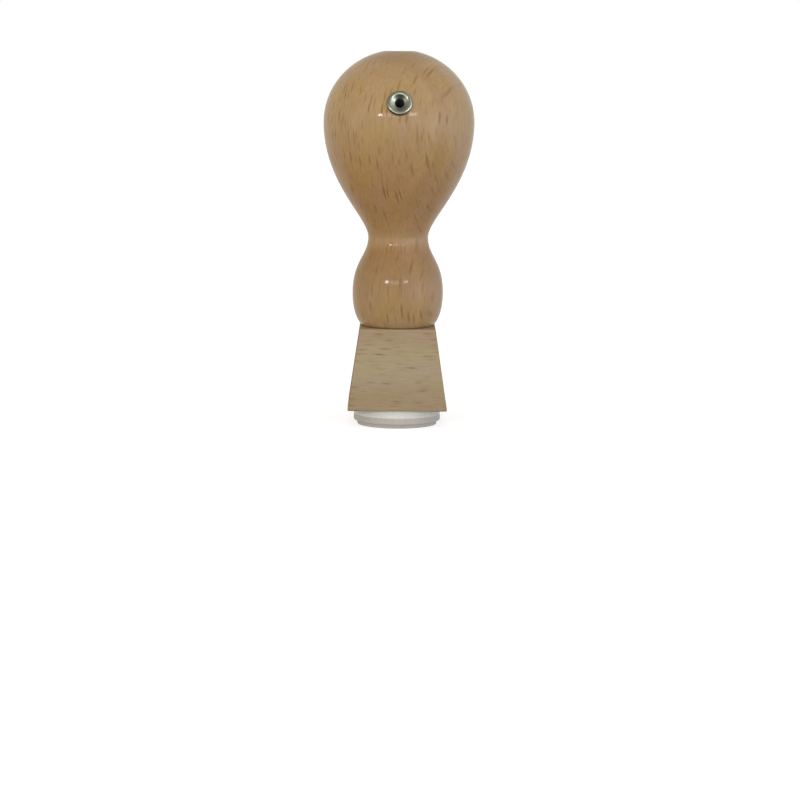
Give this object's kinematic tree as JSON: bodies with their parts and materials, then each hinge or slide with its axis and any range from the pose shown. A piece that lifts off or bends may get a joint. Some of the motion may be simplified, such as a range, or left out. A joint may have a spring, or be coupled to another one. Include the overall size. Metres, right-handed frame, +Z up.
{
  "type": "wooden hand stamp",
  "caption": "Hand stamp with a turned, waisted beech handle, a tapered beech block and an engraved rubber die of a laughing theatre mask on a foam cushion.",
  "frame": {"origin": "middle of the printing face, on the handle's axis, at the level of the raised figure", "axes": "+Z up along the handle's axis; -Y the front, where the eyelet marks the figure's chin side; +X to the right as seen from the front"},
  "size_m": [0.033, 0.0336, 0.0817],
  "materials": {
    "lacquered_beech": "turned beech under clear gloss lacquer",
    "nickel_plate": "bright nickel plate",
    "zinc_steel": "bright zinc plate",
    "raw_beech": "sawn and sanded, unlacquered",
    "adhesive_film": "thin double-sided adhesive film",
    "cushion_foam": "closed-cell foam, cut edges",
    "engraved_rubber": "laser-engraved stamp rubber, matte"
  },
  "bodies": {
    "root": {"handle": "lacquered_beech", "front_eyelet": "nickel_plate", "dowel_screw": "zinc_steel", "mount_block": "raw_beech", "upper_adhesive": "adhesive_film", "cushion": "cushion_foam", "lower_adhesive": "adhesive_film", "rubber_die": "engraved_rubber"}
  },
  "joints": []
}
